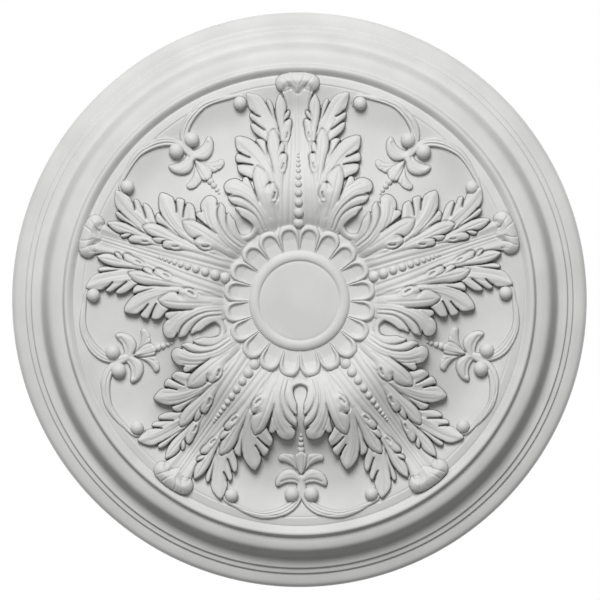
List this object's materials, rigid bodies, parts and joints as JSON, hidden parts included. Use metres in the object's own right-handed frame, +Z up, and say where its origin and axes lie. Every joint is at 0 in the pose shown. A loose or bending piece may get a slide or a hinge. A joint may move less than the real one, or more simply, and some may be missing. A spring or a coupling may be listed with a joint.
{
  "type": "ceiling rose",
  "caption": "Round moulded ceiling rose with acanthus arms, scrolled sprays, a petalled centre boss and a flat back that fixes to a ceiling.",
  "frame": {"origin": "centre of the flat back, where it meets the ceiling", "axes": "+Z up into the ceiling, out of the flat back; the relief faces -Z; -Y towards the arm at the top of the view from below"},
  "size_m": [0.51, 0.51, 0.0571],
  "materials": {
    "primed_foam": "white factory primer on moulded rigid foam, matt"
  },
  "bodies": {
    "root": {"ceiling_rose": "primed_foam"}
  },
  "joints": []
}
